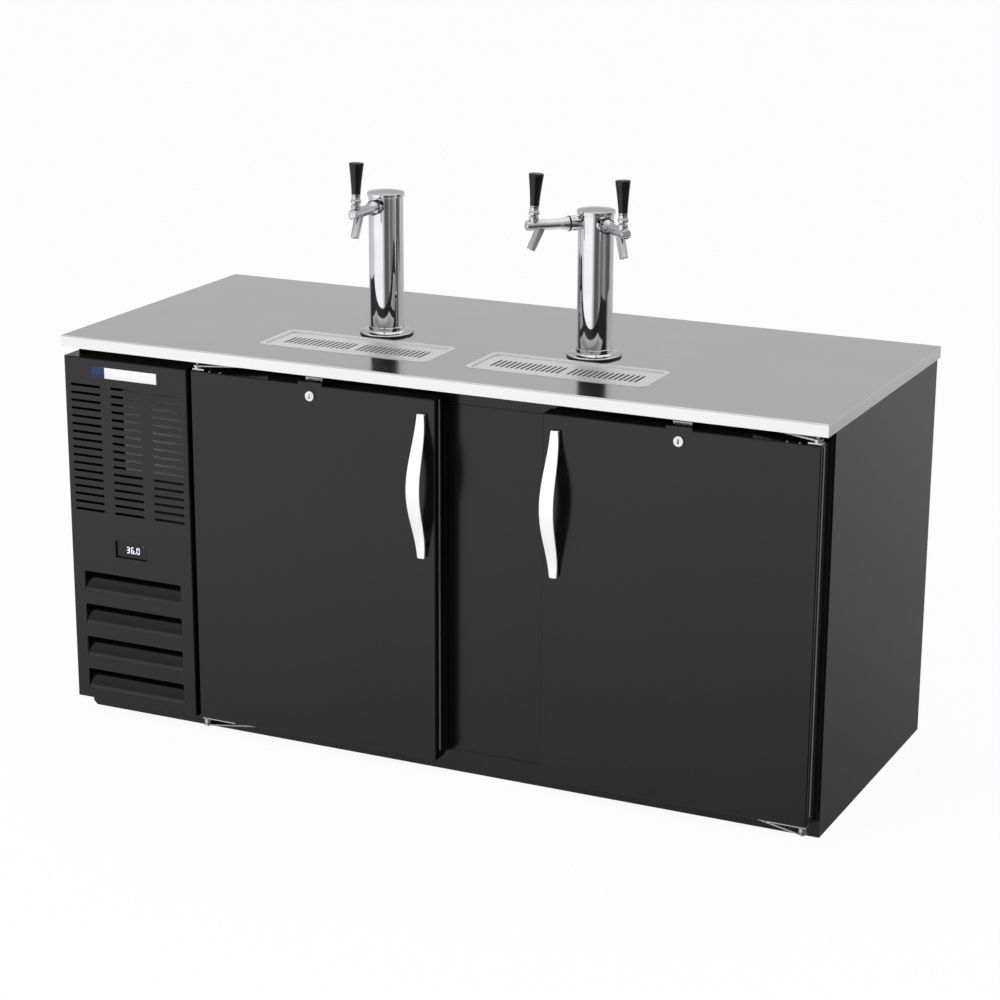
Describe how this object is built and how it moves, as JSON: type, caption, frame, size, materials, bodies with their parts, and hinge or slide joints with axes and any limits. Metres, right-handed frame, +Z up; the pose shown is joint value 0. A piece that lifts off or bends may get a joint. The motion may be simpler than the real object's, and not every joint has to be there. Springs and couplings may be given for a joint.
{
  "type": "draft beer dispenser",
  "caption": "Two-door keg cooler with a stainless counter, drip trays and chrome tap towers; levers pull taps open, doors swing, grids lift out.",
  "frame": {"origin": "middle of the base's underside, on the floor", "axes": "+X to the user's right along the counter, +Y to the back, +Z up"},
  "size_m": [1.829, 0.826, 1.3296],
  "materials": {
    "cabinet_black": "satin powder coat",
    "counter_steel": "brushed along its length",
    "tray_steel": "bright brushed",
    "tower_chrome": "polished",
    "handle_metal": "satin polished",
    "lock_metal": "polished",
    "hinge_steel": "zinc plated",
    "liner_grey": "moulded",
    "seal_rubber": "matte",
    "knob_black": "gloss",
    "display_glass": "gloss smoked",
    "control_plastic": "moulded",
    "box_grey": "satin",
    "compressor_black": "gloss",
    "coil_aluminium": "mill",
    "bracket_steel": "galvanised",
    "valve_brass": "machined"
  },
  "bodies": {
    "cabinet": {"base": "cabinet_black", "right_wall": "cabinet_black", "rear_wall": "cabinet_black", "partition_wall": "cabinet_black", "ceiling_panel": "cabinet_black", "centre_post": "cabinet_black", "machine_side_panel": "cabinet_black", "machine_rear_panel": "cabinet_black", "countertop": "counter_steel", "counter_core": "cabinet_black", "machine_panel": "cabinet_black", "controller": "control_plastic", "display_window": "display_glass", "electrical_box": "box_grey", "compressor": "compressor_black", "condenser": "coil_aluminium", "fan_bracket": "bracket_steel", "evaporator": "coil_aluminium", "drip_pan_left": "tray_steel", "drip_pan_right": "tray_steel", "hinge_brackets": "hinge_steel", "lock_keepers": "hinge_steel", "left_tower_column": "tower_chrome", "right_tower_column": "tower_chrome", "tower_caps": "tower_chrome", "tower_flanges": "tower_chrome", "tower_gaskets": "seal_rubber", "shanks": "tower_chrome", "coupling_nuts": "tower_chrome", "bonnets": "tower_chrome", "tap_body_1": "tower_chrome", "tap_body_2": "tower_chrome", "tap_body_3": "tower_chrome"},
    "left_door": {"left_door_skin": "cabinet_black", "left_door_liner": "liner_grey", "left_gasket": "seal_rubber", "left_handle": "handle_metal", "left_lock_barrel": "lock_metal", "left_hinge_plates": "hinge_steel"},
    "right_door": {"right_door_skin": "cabinet_black", "right_door_liner": "liner_grey", "right_gasket": "seal_rubber", "right_handle": "handle_metal", "right_lock_barrel": "lock_metal", "right_hinge_plates": "hinge_steel"},
    "left_lock": {"left_lock_plug": "lock_metal"},
    "right_lock": {"right_lock_plug": "lock_metal"},
    "condenser_fan": {"condenser_fan": "control_plastic"},
    "evaporator_fan": {"evaporator_fan": "control_plastic"},
    "left_grid": {"drip_grid_left": "tray_steel"},
    "right_grid": {"drip_grid_right": "tray_steel"},
    "lever_1": {"tap_lever_1": "tower_chrome", "tap_knob_1": "knob_black"},
    "plunger_1": {"plunger_1": "valve_brass"},
    "lever_2": {"tap_lever_2": "tower_chrome", "tap_knob_2": "knob_black"},
    "plunger_2": {"plunger_2": "valve_brass"},
    "lever_3": {"tap_lever_3": "tower_chrome", "tap_knob_3": "knob_black"},
    "plunger_3": {"plunger_3": "valve_brass"}
  },
  "joints": [
    {"name": "left_door_swing", "type": "hinge", "parent": "cabinet", "child": "left_door", "pos_m": [-0.562, -0.3985, 0.4545], "axis": [0, 0, -1], "range_deg": [0, 100]},
    {"name": "right_door_swing", "type": "hinge", "parent": "cabinet", "child": "right_door", "pos_m": [0.887, -0.3985, 0.4545], "axis": [0, 0, 1], "range_deg": [0, 100]},
    {"name": "left_lock_turn", "type": "hinge", "parent": "left_door", "child": "left_lock", "pos_m": [-0.269, -0.4125, 0.842], "axis": [0, -1, 0], "range_deg": [0, 90]},
    {"name": "right_lock_turn", "type": "hinge", "parent": "right_door", "child": "right_lock", "pos_m": [0.594, -0.4125, 0.842], "axis": [0, 1, 0], "range_deg": [0, 90]},
    {"name": "condenser_fan_spin", "type": "hinge", "parent": "cabinet", "child": "condenser_fan", "pos_m": [-0.74725, -0.2445, 0.221], "axis": [0, 1, 0], "continuous": true},
    {"name": "evaporator_fan_spin", "type": "hinge", "parent": "cabinet", "child": "evaporator_fan", "pos_m": [-0.467, 0.11, 0.7], "axis": [1, 0, 0], "continuous": true},
    {"name": "left_grid_lift", "type": "slide", "parent": "cabinet", "child": "left_grid", "axis": [0, 0, 1], "range_m": [0, 0.12]},
    {"name": "right_grid_lift", "type": "slide", "parent": "cabinet", "child": "right_grid", "axis": [0, 0, 1], "range_m": [0, 0.12]},
    {"name": "lever_1_pull", "type": "hinge", "parent": "cabinet", "child": "lever_1", "pos_m": [-0.257, -0.2145, 1.23], "axis": [1, 0, 0], "range_deg": [0, 35]},
    {"name": "plunger_1_slide", "type": "slide", "parent": "cabinet", "child": "plunger_1", "axis": [0, 1, 0], "range_m": [0, 0.0106]},
    {"name": "lever_2_pull", "type": "hinge", "parent": "cabinet", "child": "lever_2", "pos_m": [0.15315, -0.16934, 1.23], "axis": [0.682, -0.7314, 0], "range_deg": [0, 35]},
    {"name": "plunger_2_slide", "type": "slide", "parent": "cabinet", "child": "plunger_2", "axis": [0.7314, 0.682, 0], "range_m": [0, 0.0106]},
    {"name": "lever_3_pull", "type": "hinge", "parent": "cabinet", "child": "lever_3", "pos_m": [0.36085, -0.16934, 1.23], "axis": [0.682, 0.7314, 0], "range_deg": [0, 35]},
    {"name": "plunger_3_slide", "type": "slide", "parent": "cabinet", "child": "plunger_3", "axis": [-0.7314, 0.682, 0], "range_m": [0, 0.0106]}
  ],
  "couplings": [
    {"joint": "plunger_1_slide", "follows": "lever_1_pull", "m_per_rad": 0.017157},
    {"joint": "plunger_2_slide", "follows": "lever_2_pull", "m_per_rad": 0.017157},
    {"joint": "plunger_3_slide", "follows": "lever_3_pull", "m_per_rad": 0.017157}
  ]
}
